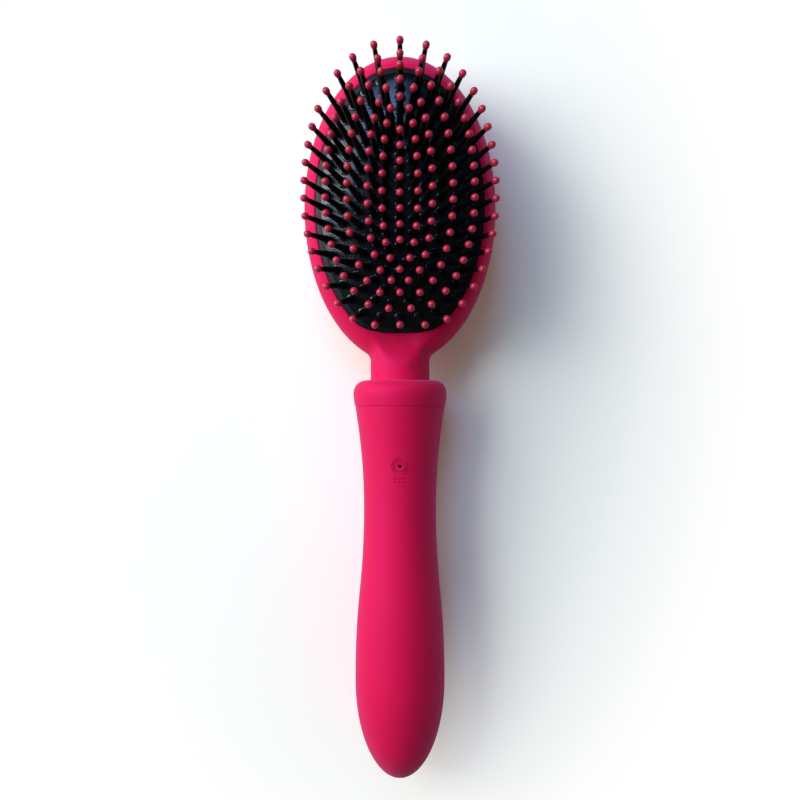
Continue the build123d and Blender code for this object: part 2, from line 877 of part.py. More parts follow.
# One ball tip, flat where it meets its pin
with BuildPart() as ball:
    with BuildSketch(Plane.XZ):
        with BuildLine():
            stub_top = pin_end + ball_seat_depth
            ball_turn = 90 + degrees(atan2(ball_flat, pin_tip_radius))
            round_face = CenterArc((0, pin_length), ball_radius, 90, -ball_turn)
            Polyline(
                round_face @ 1,
                (ball_seat_radius, pin_end),
                (ball_seat_radius, stub_top),
                (0, stub_top),
                round_face @ 0,
            )
        make_face()
    revolve(axis=Axis.Z)

with BuildPart() as bristle_pins:
    with Locations(*pins):
        add(pin.part)
save(bristle_pins.part, "bristle_pins")

with BuildPart() as ball_tips:
    with Locations(*pins):
        add(ball.part)
save(ball_tips.part, "ball_tips")
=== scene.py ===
"""Vibrating styling brush with a cushioned bristle face and a studded back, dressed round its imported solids.

The shapes are worked out in millimetres. A station is a distance along the brush from the handle's tip,
a height is measured up from the brush's long axis, and place() turns both into metres in the frame.
"""

import json
from math import atan2, cos, pi, radians, sin

import bmesh
import bpy
import numpy as np
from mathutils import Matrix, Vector


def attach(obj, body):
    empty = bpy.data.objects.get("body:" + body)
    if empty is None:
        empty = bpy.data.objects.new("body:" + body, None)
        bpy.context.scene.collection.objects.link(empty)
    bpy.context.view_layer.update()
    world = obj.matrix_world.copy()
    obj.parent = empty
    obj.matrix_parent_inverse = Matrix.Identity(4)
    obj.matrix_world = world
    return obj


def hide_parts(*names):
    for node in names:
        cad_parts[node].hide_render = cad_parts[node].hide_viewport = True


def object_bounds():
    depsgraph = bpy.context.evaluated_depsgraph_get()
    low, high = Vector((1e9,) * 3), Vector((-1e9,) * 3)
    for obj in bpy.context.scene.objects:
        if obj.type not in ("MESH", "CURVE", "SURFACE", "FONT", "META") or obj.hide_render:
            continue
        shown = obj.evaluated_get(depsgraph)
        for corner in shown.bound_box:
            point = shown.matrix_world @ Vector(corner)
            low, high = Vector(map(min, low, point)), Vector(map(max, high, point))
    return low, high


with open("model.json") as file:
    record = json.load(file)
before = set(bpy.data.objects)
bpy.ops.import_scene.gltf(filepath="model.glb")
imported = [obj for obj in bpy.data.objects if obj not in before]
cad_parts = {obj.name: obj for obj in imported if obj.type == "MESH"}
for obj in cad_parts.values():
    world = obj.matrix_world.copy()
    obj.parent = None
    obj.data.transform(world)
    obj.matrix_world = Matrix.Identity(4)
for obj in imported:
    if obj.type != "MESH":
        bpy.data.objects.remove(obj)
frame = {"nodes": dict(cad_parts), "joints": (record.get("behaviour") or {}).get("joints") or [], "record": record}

MM = 0.001
cad_low, cad_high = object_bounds()
motor_joint = next(joint for joint in frame["joints"] if joint["name"] == "motor_spin")
axis_height = motor_joint["pos_m"][2] / MM
half_length = round((cad_high.y - cad_low.y) / MM) / 2

# Grip: an elliptical nose, then a curve through (station, radius) points
bulge_station = 34.0
bulge_radius = 15.45
seam_station = 128.8
grip_stations = (34.0, 56.23, 71.905, 91.0, 113.68, 128.8)
grip_radii = (15.45, 14.742, 13.356, 12.5, 13.507, 15.55)
mouth_slope = 0.167
sleeve_wall = 1.6
mouth_edge = 0.18

# Buttons, port and the mark beside it
button_stations = {"upper": 114.9, "lower": 100.5}
button_radius = 5.0
button_groove = 0.3
button_window = 6.4
button_foot_depth = 9.1
button_stem_radius = 2.4
button_edge = 0.25
sign_half_length = 2.9
sign_half_stroke = 0.95
sign_corner = 0.3
sign_margin = 0.4
sign_groove = (0.08, 0.22)
port_station = 108.6
port_radius = 0.6
port_edge = 0.12
port_window = 3.6
port_ring_radii = (2.7, 1.9)
ring_groove = ((0.2, 0.0), (0.16, 0.36), (0.0, 0.46), (-0.16, 0.36), (-0.2, 0.0))
mark_station = 103.7
mark_window = (2.5, 1.25)
mark_line_offset = 0.55
mark_line_half = (2.1, 0.17)
mark_dash_half = (0.42, 0.17)
mark_dash_places = (-1.55, 0, 1.55)
mark_corner = 0.1
mark_flank = 0.08
mark_engraving = 0.45
sign_engraving = 0.36

# Grid steps along the grip: over the engraved mark, round the holes, elsewhere
grip_steps = (0.07, 0.55, 1.6)

# Collar
collar_foot_station = 128.86
collar_foot_radius = 15.7
collar_radius = 16.15
collar_crown = 4.4
collar_top_station = 137.7
collar_edge = 0.2
collar_hole_edge = 0.12
collar_hole_gap = 0.05
socket_radius = 14.1
socket_top_station = 136.85

# Head and neck
neck_radius = 10.2
neck_end_station = 136.8
head_half_width = 33.15
head_depth = 16.2
head_centre = 197.4
head_top_reach = 52.6
head_low_reach = 53.7
head_wall = 1.6
rim_height = 6.9
scoop_foot_station = 153.4
scoop_top_station = 144.4
scoop_steepest = radians(58)
neck_fade = 0.6
neck_blend = 1.8
back_blend = 5.0
back_blend_heights = (2.0, 9.0)
rim_softness = 1.0
neck_softness = 1.2
neck_softness_stations = (143, 150)
dish_depth = 1.45
dish_half_width = 7.5
dish_stations = (144.0, 151.5, 158.0, 170.0)
first_loop_station = 141.0
last_loop_station = 150.6
last_loop_height = 3.6
lip_roll = 0.45
head_columns = 224
head_rows = 118

# Pad: an ellipse with a straight foot and rounded corners
pad_half_width = 28.9
pad_half_length = 47.0
pad_foot_station = 154.0
pad_corner = 3.2
pad_floor = 3.7
crown_top = 12.9
crown_radius = 72.6
crown_stretch = pad_half_length / pad_half_width
flange_inset = 0.4
flange_height = 4.3
cushion_floor = pad_floor + 0.1
cushion_edge = 1.88
cushion_edge_height = 7.1
cushion_shoulder = 2.6
cushion_gap = 0.08
cushion_sink = 0.3

# Strip's section, (inset, height), between its foot and its rounded outer edge
strip_foot = (0.04, 4.4)
strip_edge = (0.24, 6.68, 0.2)
strip_face = ((1.0, 7.12), (1.7, 7.37), (1.84, 7.41), (1.86, 7.36), (1.86, 4.4))

# Pins and ball tips. Each ring: half width, top station, its straight foot's, reach of its lower half,
# how much wider apart its pins stand at its ends than at its sides, count
pin_length = 17.6
fan_out = 0.236
edge_fan = 0.036
crown_fan = 0.44
fan_along = 0.125
crown_fan_along = 0.153
fan_station = 187.5
widest_station = 195.8
ring_squareness = 2.07
pin_rings = (
    (24.6, 240.6, 158.9, 40.2, 0.24, 38),
    (19.4, 236.5, 163.6, 34.0, 0.24, 37),
    (13.85, 233.1, 168.1, 30.5, 0.12, 32),
    (8.5, 228.7, 171.5, 26.4, -0.1, 27),
    (4.7, 223.6, 174.6, 21.2, -0.15, 22),
)
column_stations = np.linspace(183.0, 214.0, 8)

# Revolved outlines, (radius, height): pin, bead, and the raised ring round each foot
shank_outline = ((0.0, -1.2), (1.35, -1.2), (1.4, 0.3), (1.28, 2.0), (1.03, 9.0), (0.76, 16.2), (0.0, 16.2))
bead_outline = (
    (0.0, 15.75), (0.78, 15.75), (1.05, 16.35), (1.22, 17.05), (1.24, 17.75), (0.98, 18.4),
    (0.52, 18.75), (0.0, 18.85),
)
foot_outline = ((0.9, -0.4), (1.2, 0.26), (1.55, 0.24), (1.85, 0.1), (2.1, -0.06), (2.1, -0.4), (0.9, -0.4))
pin_facets = 12
bead_facets = 14

# Studs on the head's back: elliptical rings that shrink by equal steps
stud_half_width = 26.9
stud_half_length = 46.1
stud_centre = 197.3
stud_spacing = 3.0
stud_rings = 11
stud_ring_share = 1 / 11.3
stud_outline = (
    (0.0, -0.25), (0.86, -0.25), (0.86, -0.03), (0.66, 0.09), (0.48, 0.3), (0.26, 0.45), (0.0, 0.5),
)
stud_facets = 10


# Shapes

def place(x, station, height):
    """Points in the frame, in metres: width, station less half the length, height plus the axis's own."""
    x, station, height = np.broadcast_arrays(x, station, height)
    return np.stack((x, station - half_length, height + axis_height), axis=-1) * MM


def quads(rows, columns, closed, start):
    """Corner numbers of the cells of a grid of points, its last column joined to its first if closed."""
    row = np.arange(rows - 1)[:, None] * columns + start
    column = np.arange(columns if closed else columns - 1)[None, :]
    after = (column + 1) % columns
    corners = (row + column, row + after, row + columns + after, row + columns + column)
    return np.stack(corners, axis=-1)


def piece(name, sheets, body, slot, replaced=(), weld=0.002, sharp=38.0):
    """Joins grids of points, (points, closed, kept cells), into one mesh that rides on a body."""
    points = []
    faces = []
    start = 0
    for grid, closed, kept in sheets:
        cells = quads(grid.shape[0], grid.shape[1], closed, start)
        faces.append(cells[kept] if kept is not None else cells.reshape(-1, 4))
        points.append(grid.reshape(-1, 3))
        start += grid.shape[0] * grid.shape[1]
    mesh = bpy.data.meshes.new(name)
    mesh.from_pydata(np.concatenate(points), [], np.concatenate(faces).tolist())
    work = bmesh.new()
    work.from_mesh(mesh)
    bmesh.ops.remove_doubles(work, verts=work.verts, dist=weld * MM)
    loose = [vertex for vertex in work.verts if not vertex.link_faces]
    bmesh.ops.delete(work, geom=loose, context="VERTS")
    bmesh.ops.recalc_face_normals(work, faces=work.faces)
    work.to_mesh(mesh)
    work.free()
    mesh.shade_smooth()
    mesh.set_sharp_from_angle(angle=radians(sharp))
    made = bpy.data.objects.new(name, mesh)
    bpy.context.scene.collection.objects.link(made)
    mesh.materials.append(materials[slot])
    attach(made, body)
    if replaced:
        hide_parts(*replaced)
    return made


def curve_through(stations, values, first_slope, last_slope):
    """Cubic curve through points: slopes that make its bend continuous, joined by Hermite arcs."""
    stations = np.array(stations)
    values = np.array(values)
    gap = np.diff(stations)
    rise = np.diff(values)
    matrix = np.eye(len(stations))
    right = np.zeros(len(stations))
    inner = np.arange(1, len(stations) - 1)
    matrix[inner, inner - 1] = 1 / gap[:-1]
    matrix[inner, inner] = 2 / gap[:-1] + 2 / gap[1:]
    matrix[inner, inner + 1] = 1 / gap[1:]
    right[inner] = 3 * (rise[:-1] / gap[:-1] ** 2 + rise[1:] / gap[1:] ** 2)
    right[0] = first_slope
    right[-1] = last_slope
    slopes = np.linalg.solve(matrix, right)

    def value(station):
        low = np.clip(np.searchsorted(stations, station, side="right") - 1, 0, len(gap) - 1)
        t = (station - stations[low]) / gap[low]
        start = (1 + 2 * t) * (1 - t) ** 2 * values[low] + t * (1 - t) ** 2 * gap[low] * slopes[low]
        end = t * t * (3 - 2 * t) * values[low + 1] + t * t * (t - 1) * gap[low] * slopes[low + 1]
        return start + end

    return value


def solve(gap, low, high, rounds=44):
    """Where a function of a position turns from below nought to above it, by halving between two arrays."""
    low, high = (edge.astype(float) for edge in np.broadcast_arrays(low, high))
    for _ in range(rounds):
        middle = (low + high) / 2
        inside = gap(middle) < 0
        low = np.where(inside, middle, low)
        high = np.where(inside, high, middle)
    return (low + high) / 2


def smooth_step(value, low, high):
    """From 0 at low to 1 at high, level at both ends."""
    t = np.clip((value - low) / (high - low), 0, 1)
    return t * t * (3 - 2 * t)


def soft_min(a, b, reach):
    """The lesser of two distances, rounded off where they differ by less than the reach."""
    blend = np.maximum(reach - np.abs(a - b), 0) / reach
    return np.minimum(a, b) - blend**2 * reach / 4


def soft_max(a, b, reach):
    """The greater of two distances, rounded off in the same way."""
    return -soft_min(-a, -b, reach)


def egg_gap(*axes):
    """About how far a point lies outside an ellipsoid: (offset, half size) pairs, first-order distance."""
    near = np.sqrt(sum((offset / size) ** 2 for offset, size in axes))
    steep = np.sqrt(sum((offset / size**2) ** 2 for offset, size in axes))
    return near * (near - 1) / np.maximum(steep, 1e-9)


def box_gap(x, y, half_width, half_height, corner):
    """Distance outside a rectangle with rounded corners."""
    across = np.abs(x) - half_width + corner
    along = np.abs(y) - half_height + corner
    outside = np.hypot(np.maximum(across, 0), np.maximum(along, 0))
    return outside + np.minimum(np.maximum(across, along), 0) - corner


def evenly_round(outline_x, outline_y, count, shift=0.0, closeness=1.0):
    """Points spaced along a closed outline, from its first point on: evenly, or closer where told."""
    steps = np.hypot(np.diff(outline_x), np.diff(outline_y)) * closeness
    lengths = np.concatenate(([0], np.cumsum(steps)))
    wanted = (np.arange(count) + shift) / count * lengths[-1]
    return np.interp(wanted, lengths, outline_x), np.interp(wanted, lengths, outline_y)


# Materials

def linear(hex_colour):
    """A colour written as sRGB hex, as the linear values that a shader takes."""
    channels = [int(hex_colour[i : i + 2], 16) / 255 for i in (1, 3, 5)]
    return tuple(c / 12.92 if c <= 0.04045 else ((c + 0.055) / 1.055) ** 2.4 for c in channels) + (1.0,)


def add(tree, kind, inputs=None, **settings):
    """Adds a node: settings are its properties, inputs its values or the sockets that feed them."""
    made = tree.nodes.new(kind)
    for key, value in settings.items():
        setattr(made, key, value)
    for key, value in (inputs or {}).items():
        if isinstance(value, bpy.types.NodeSocket):
            tree.links.new(value, made.inputs[key])
        else:
            made.inputs[key].default_value = value
    return made


def finish_material(name, light, dark, cloud, grain, roughness, bump, **shader):
    """A surface with a colour that clouds between two near shades, a roughness that wanders, and a grain.

    cloud, grain and bump are in mm: the noise has one blob per cloud or grain, bump is the grain's depth.
    """
    made = bpy.data.materials.new(name)
    made.use_nodes = True
    tree = made.node_tree
    tree.nodes.clear()
    where = add(tree, "ShaderNodeTexCoord").outputs["Object"]

    def noise(size, detail, rough):
        inputs = {"Vector": where, "Scale": 1 / (size * MM), "Detail": detail, "Roughness": rough}
        return add(tree, "ShaderNodeTexNoise", inputs).outputs["Fac"]

    blobs = noise(cloud, 3.0, 0.55)
    fine = noise(grain, 2.0, 0.5)
    shade = add(
        tree, "ShaderNodeMix", {"Factor": blobs, "A": linear(dark), "B": linear(light)}, data_type="RGBA"
    ).outputs["Result"]
    rough = add(
        tree,
        "ShaderNodeMapRange",
        {"Value": blobs, "From Min": 0.3, "From Max": 0.7, "To Min": roughness[0], "To Max": roughness[1]},
    ).outputs["Result"]
    relief = add(
        tree, "ShaderNodeBump", {"Height": fine, "Strength": 1.0, "Distance": bump * MM}
    ).outputs["Normal"]
    surface = add(
        tree,
        "ShaderNodeBsdfPrincipled",
        {"Base Color": shade, "Roughness": rough, "Normal": relief, **shader},
    )
    add(tree, "ShaderNodeOutputMaterial", {"Surface": surface.outputs["BSDF"]})
    return made


materials = {
    # Silicone rubber from a bead-blasted mould: saturated, soft satin, no hard highlight
    "silicone": finish_material(
        "satin_silicone", "#F21850", "#E8154B", 24, 0.22, (0.56, 0.64), 0.012,
        **{"IOR": 1.41, "Specular IOR Level": 0.7, "Specular Tint": linear("#B070FF"),
           "Subsurface Weight": 0.05, "Subsurface Radius": (1.0, 0.2, 0.3), "Subsurface Scale": 0.0015,
           "Sheen Weight": 0.33, "Sheen Roughness": 0.42, "Sheen Tint": linear("#BC8CFF")},
    ),
    # ABS, natural white, from a satin mould: even and slightly waxy
    "shell_plastic": finish_material(
        "natural_abs", "#D6D4CC", "#CBC9C0", 18, 0.3, (0.38, 0.5), 0.01, **{"IOR": 1.54}
    ),
    # Zinc-plated steel: bright grey with a fine uneven tarnish
    "screw_steel": finish_material(
        "zinc_plated_steel", "#C9CACC", "#A9ABAE", 1.5, 0.12, (0.25, 0.42), 0.004, **{"Metallic": 1.0}
    ),
    # Drawn and nickel-plated steel can: smooth, with faint clouding
    "motor_steel": finish_material(
        "nickel_plated_steel", "#CFCBC2", "#B9B5AC", 4, 0.2, (0.2, 0.34), 0.003, **{"Metallic": 1.0}
    ),
    # Sintered bronze: warm, dull, with open pores
    "bush_bronze": finish_material(
        "sintered_bronze", "#C79A5A", "#A67B42", 0.8, 0.1, (0.36, 0.5), 0.008, **{"Metallic": 1.0}
    ),
    # Nitrile rubber: matt black with a faint bloom
    "seal_rubber": finish_material(
        "nitrile_rubber", "#26262A", "#1A1A1D", 3, 0.15, (0.6, 0.78), 0.01, **{"IOR": 1.52}
    ),
    # Glass-filled nylon: dark, with a slightly streaky grain
    "dark_plastic": finish_material(
        "glass_filled_nylon", "#232428", "#191A1D", 2, 0.12, (0.42, 0.6), 0.01, **{"IOR": 1.53}
    ),
    # PVC heat-shrink film: clear blue skin over the cell, glossy with slow waves
    "battery_wrap": finish_material(
        "shrunk_pvc_film", "#2C63A8", "#24548F", 9, 2.4, (0.16, 0.26), 0.05, **{"IOR": 1.53}
    ),
    # Open-cell foam: dark and full of holes, no gloss
    "pad_foam": finish_material(
        "open_cell_foam", "#4A4A4C", "#2C2C2E", 0.9, 0.5, (0.85, 0.95), 0.2, **{"IOR": 1.45}
    ),
    # Extruded PVC insulation: red, smooth, lightly glossy
    "lead_sleeve": finish_material(
        "pvc_insulation", "#B81E1E", "#A51818", 3, 0.4, (0.28, 0.38), 0.005, **{"IOR": 1.53}
    ),
    # Glass-epoxy board under solder lacquer: green with the weave showing as a fine grain
    "board_laminate": finish_material(
        "lacquered_glass_epoxy", "#1E6B3C", "#155230", 1.2, 0.35, (0.22, 0.34), 0.01, **{"IOR": 1.5}
    ),
    # ABS from a lightly etched mould: near black, with a dull shine
    "frame_plastic": finish_material(
        "matt_abs", "#17191D", "#131518", 8, 0.3, (0.42, 0.5), 0.015,
        **{"IOR": 1.52, "Specular IOR Level": 0.3},
    ),
    # Rubber from a polished mould: blue-black and glossy, with slow waves in the shine
    "pad_rubber": finish_material(
        "polished_rubber", "#0C1017", "#090C12", 30, 9.0, (0.2, 0.25), 0.02,
        **{"IOR": 1.55, "Specular IOR Level": 0.62, "Specular Tint": linear("#D8E6F6")},
    ),
    # Nylon 6, black, from a polished mould: deep colour with a soft shine
    "pin_plastic": finish_material(
        "black_nylon", "#101319", "#0A0C11", 5, 0.3, (0.3, 0.4), 0.006, **{"IOR": 1.53}
    ),
    # Dipped epoxy beads: rosy red under a clear, wet-looking skin
    "tip_plastic": finish_material(
        "epoxy_bead", "#CC2C4C", "#BC2444", 6, 0.5, (0.34, 0.42), 0.004,
        **{"IOR": 1.5, "Coat Weight": 0.25, "Coat Roughness": 0.2},
    ),
}


# Handle

grip_radius = curve_through(grip_stations, grip_radii, 0.0, mouth_slope)


def grip_face(x, station, inset):
    """How far the grip's face lies above or below the axis: the circle of that station, less an inset."""
    return np.sqrt(np.maximum((grip_radius(station) - inset) ** 2 - x**2, 0))


def mark_depth(x, station):
    """Engraved depth of the direct-current sign: a long bar over three dashes."""
    along = station - mark_station
    bar = box_gap(x, along - mark_line_offset, *mark_line_half, mark_corner)
    for middle in mark_dash_places:
        bar = np.minimum(bar, box_gap(x - middle, along + mark_line_offset, *mark_dash_half, mark_corner))
    return mark_engraving * (1 - smooth_step(bar, -mark_flank, mark_flank))


def make_grip():
    """Closed sleeve: circles along the grip's profile, out and back inside, with windows for the holes."""
    port_turn = np.arcsin(port_window / grip_radius(port_station))
    mark_turn = np.arcsin(mark_window[0] / grip_radius(mark_station))
    button_turn = np.arcsin(button_window / grip_radius(button_stations["lower"]))
    turns = np.unique(np.round(np.concatenate((
        np.linspace(-pi / 2, -port_turn, 18),
        np.linspace(-port_turn, -mark_turn, 3),
        np.linspace(-mark_turn, mark_turn, 69),
        np.linspace(mark_turn, port_turn, 3),
        np.linspace(port_turn, pi - button_turn, 30),
        np.linspace(pi - button_turn, pi + button_turn, 25),
        np.linspace(pi + button_turn, 3 * pi / 2, 14)[:-1],
    )), 9))
    mark_low = mark_station - mark_window[1]
    mark_high = mark_station + mark_window[1]
    spans = sorted(
        [station + side * button_window for station in button_stations.values() for side in (-1, 1)]
        + [port_station - port_window, port_station + port_window, mark_low, mark_high]
        + [bulge_station, seam_station - mouth_edge]
    )
    mark_step, hole_step, plain_step = grip_steps
    along = [np.array([bulge_station])]
    for low, high in zip(spans, spans[1:]):
        in_mark = low >= mark_low and high <= mark_high
        step = mark_step if in_mark else (hole_step if low >= spans[1] else plain_step)
        along.append(np.linspace(low, high, max(int(np.ceil((high - low) / step)), 1) + 1)[1:])
    along = np.concatenate(along)
    nose = np.linspace(0, pi / 2, 26)[:-1]
    round_over = np.linspace(0, pi / 2, 5)[1:]
    profile = []
    for inset in (0.0, sleeve_wall):
        stations = np.concatenate((bulge_station - (bulge_station - inset) * np.cos(nose), along))
        radii = np.concatenate(((bulge_radius - inset) * np.sin(nose), grip_radius(along) - inset))
        profile.append((stations, radii))
    mouth = float(profile[0][1][-1])
    edge_stations = seam_station - mouth_edge + mouth_edge * np.sin(round_over)
    edge_radii = mouth - mouth_edge * (1 - np.cos(round_over))
    lip = mouth - sleeve_wall
    (out_stations, out_radii), (in_stations, in_radii) = profile
    stations = np.concatenate((out_stations, edge_stations, [seam_station, seam_station], in_stations[::-1]))
    radii = np.concatenate((out_radii, edge_radii, [(edge_radii[-1] + lip) / 2, lip], in_radii[::-1]))
    x = radii[:, None] * np.sin(turns)
    height = radii[:, None] * np.cos(turns)
    station = stations[:, None] + 0 * x
    carve = np.where(height > 0, mark_depth(x, station), 0)
    carve[len(out_radii):] = 0
    depth = 1 - carve / np.maximum(radii[:, None], 1)
    kept = np.ones((len(radii) - 1, len(turns)), bool)
    sheets = [(place(x * depth, station, height * depth), True, kept)]

    def hole(middle, window, turn, side, rings):
        """Sheet from a window's border to circles of (radius, depth) about the hole, and back inside."""
        rows = [int(np.argmin(np.abs(out_stations - middle - end * window))) for end in (-1, 1)]
        centre = 0.0 if side > 0 else pi
        columns = [int(np.argmin(np.abs(turns - centre - end * turn))) for end in (-1, 1)]
        kept[rows[0]:rows[1], columns[0]:columns[1]] = False
        last = len(radii) - 1
        kept[last - rows[1]:last - rows[0], columns[0]:columns[1]] = False
        down = np.arange(rows[0], rows[1])
        across = np.arange(columns[0], columns[1])
        row = np.concatenate((across * 0 + rows[0], down, across * 0 + rows[1], down[::-1] + 1))
        column = np.concatenate((across, down * 0 + columns[1], across[::-1] + 1, down * 0 + columns[0]))
        grid = []
        for inset, at in ((0.0, row), (sleeve_wall, last - row)):
            plan = np.stack((x[at, column], station[at, column] - middle))
            aim = plan / np.hypot(*plan)
            first = rings[0][0] if inset == 0 else rings[-1][0]
            levels = [((1 - t) * plan + t * first * aim, 0.0) for t in np.linspace(0, 1, 6)]
            if inset == 0:
                levels += [(radius * aim, drop) for radius, drop in rings[1:]]
            sheet = []
            for (plan_x, plan_y), drop in levels:
                face = grip_face(plan_x, plan_y + middle, inset) - drop
                sheet.append(place(plan_x, plan_y + middle, side * face))
            grid += sheet if inset == 0 else sheet[::-1]
        sheets.append((np.stack(grid), True, None))

    fillet = [(1 - sin(turn), 1 - cos(turn)) for turn in np.linspace(0, pi / 2, 5)]
    rim = button_radius + button_groove
    rings = [(rim + button_edge * out, button_edge * down) for out, down in fillet]
    for middle in button_stations.values():
        hole(middle, button_window, button_turn, -1, rings)
    rings = []
    for radius in port_ring_radii:
        rings += [(radius + out, drop) for out, drop in ring_groove]
    rings += [(port_radius + port_edge * out, port_edge * down) for out, down in fillet]
    hole(port_station, port_window, port_turn, 1, rings)
    piece("grip_sleeve", sheets, "handle", "silicone", ["handle_sleeve"])


def button_mark(kind, x, y):
    """Distance from the outline of a plus or a minus with rounded corners."""
    sign = box_gap(x, y, sign_half_length, sign_half_stroke, sign_corner)
    if kind == "upper":
        sign = np.minimum(sign, box_gap(x, y, sign_half_stroke, sign_half_length, sign_corner))
    return np.abs(sign)


def make_button(kind):
    """Key: a square grid over its sign, a sheet from there to the rim, down the side and in to the stem."""
    middle = button_stations[kind]
    half = sign_half_length + sign_margin
    line = np.linspace(-half, half, 79)
    x, y = np.meshgrid(line, line)

    def face(plan_x, plan_y):
        carve = sign_engraving * (1 - smooth_step(button_mark(kind, plan_x, plan_y), *sign_groove))
        return place(plan_x, plan_y + middle, -(grip_face(plan_x, plan_y + middle, 0) - carve))

    end = len(line) - 1
    run = np.arange(end)
    row = np.concatenate((run * 0, run, run * 0 + end, end - run))
    column = np.concatenate((run, run * 0 + end, end - run, run * 0))
    plan = np.stack((x[row, column], y[row, column]))
    aim = plan / np.hypot(*plan)
    top = button_radius - button_edge
    grid = [face(*((1 - t) * plan + t * top * aim)) for t in np.linspace(0, 1, 8)]
    turns = np.linspace(0, pi / 2, 6)[1:]
    rim = [(top + button_edge * sin(turn), button_edge * (1 - cos(turn))) for turn in turns]
    rim += [(button_radius, sleeve_wall), (button_stem_radius, sleeve_wall)]
    for radius, drop in rim:
        plan_x, plan_y = radius * aim
        grid.append(place(plan_x, plan_y + middle, -(grip_face(plan_x, plan_y + middle, 0) - drop)))
    for radius in (button_stem_radius, 0.0):
        plan_x, plan_y = radius * aim
        grid.append(place(plan_x, plan_y + middle, -button_foot_depth))
    sheets = [(face(x, y), False, None), (np.stack(grid), True, None)]
    piece(f"{kind}_button_cap", sheets, f"{kind}_key", "silicone", [f"{kind}_button"])


# Collar

def make_collar():
    """Revolved ring: rounded foot, flank, quarter-round brow, flat top with a rolled neck hole, bore."""
    steps = np.linspace(0, pi / 2, 9)
    flank = np.linspace(0, 1, 8)[1:-1]
    top = collar_top_station - collar_crown
    bow = collar_foot_radius + (collar_radius - collar_foot_radius) * np.sin(flank * pi / 2)
    neck_hole = neck_radius + collar_hole_gap
    foot = collar_foot_station
    profile = [(socket_radius, foot), (collar_foot_radius - collar_edge, foot)]
    profile += [
        (collar_foot_radius - collar_edge * (1 - sin(t)), foot + collar_edge * (1 - cos(t)))
        for t in steps[1::2]
    ]
    profile += [(r, foot + collar_edge + (top - foot - collar_edge) * f) for r, f in zip(bow, flank)]
    profile += [(collar_radius - collar_crown * (1 - cos(t)), top + collar_crown * sin(t)) for t in steps]
    profile += [
        (neck_hole + collar_hole_edge * (1 - sin(t)), collar_top_station - collar_hole_edge * (1 - cos(t)))
        for t in steps[::2]
    ]
    profile += [(neck_hole, socket_top_station), (socket_radius, socket_top_station)]
    radii, stations = np.array(profile + profile[:1]).T
    turns = np.linspace(0, 2 * pi, 129)[:-1]
    grid = place(radii[:, None] * np.sin(turns), stations[:, None], radii[:, None] * np.cos(turns))
    piece("collar_band", [(grid, True, None)], "head", "silicone", ["collar_cover"])


# Head

def front_height(x, station):
    """Height and slope of the head's cut front: level over the pad, then an arc up to the neck's top.

    A dish with a bell-shaped section is taken off along the middle, at the pad's foot.
    """
    run = scoop_foot_station - scoop_top_station
    rise = neck_radius - rim_height
    bend = (run**2 + rise**2) / (2 * rise)
    back = np.clip(scoop_foot_station - station, 0, bend * sin(scoop_steepest))
    slope = back / np.sqrt(bend**2 - back**2)
    past = np.maximum(scoop_foot_station - station - bend * sin(scoop_steepest), 0)
    along = smooth_step(station, *dish_stations[:2]) * (1 - smooth_step(station, *dish_stations[2:]))
    dish = dish_depth * np.exp(-((x / dish_half_width) ** 2)) * along
    return rim_height + bend - np.sqrt(bend**2 - back**2) + past * slope - dish, slope


def head_gap(x, station, height):
    """Distance outside the head: egg and neck joined softly, then cut softly by the front."""
    reach = np.where(station > head_centre, head_top_reach, head_low_reach)
    egg = egg_gap((x, head_half_width), (station - head_centre, reach), (height, head_depth))
    neck = np.hypot(x, height) - neck_radius + np.maximum(station - pad_foot_station, 0) * neck_fade
    body = soft_min(egg, neck, neck_blend + back_blend * smooth_step(-height, *back_blend_heights))
    front, slope = front_height(x, station)
    cut = (height - front) / np.hypot(1, slope)
    softness = rim_softness + neck_softness * (1 - smooth_step(station, *neck_softness_stations))
    return soft_max(body, cut, softness)


def pad_gap(x, station):
    """Distance outside the pad's opening: ellipse and straight foot, with a rounded corner between them."""
    side = egg_gap((x, pad_half_width), (station - head_centre, pad_half_length)) + pad_corner
    foot = pad_foot_station - station + pad_corner
    outside = np.hypot(np.maximum(side, 0), np.maximum(foot, 0))
    return outside + np.minimum(np.maximum(side, foot), 0) - pad_corner


def slope_of(gap, *point, step=0.01):
    """Unit vector in which a distance grows, from small steps to both sides."""
    parts = []
    for axis in range(len(point)):
        ahead = [value + step * (axis == other) for other, value in enumerate(point)]
        behind = [value - step * (axis == other) for other, value in enumerate(point)]
        parts.append(gap(*ahead) - gap(*behind))
    length = np.sqrt(sum(part**2 for part in parts))
    return [part / np.maximum(length, 1e-12) for part in parts]


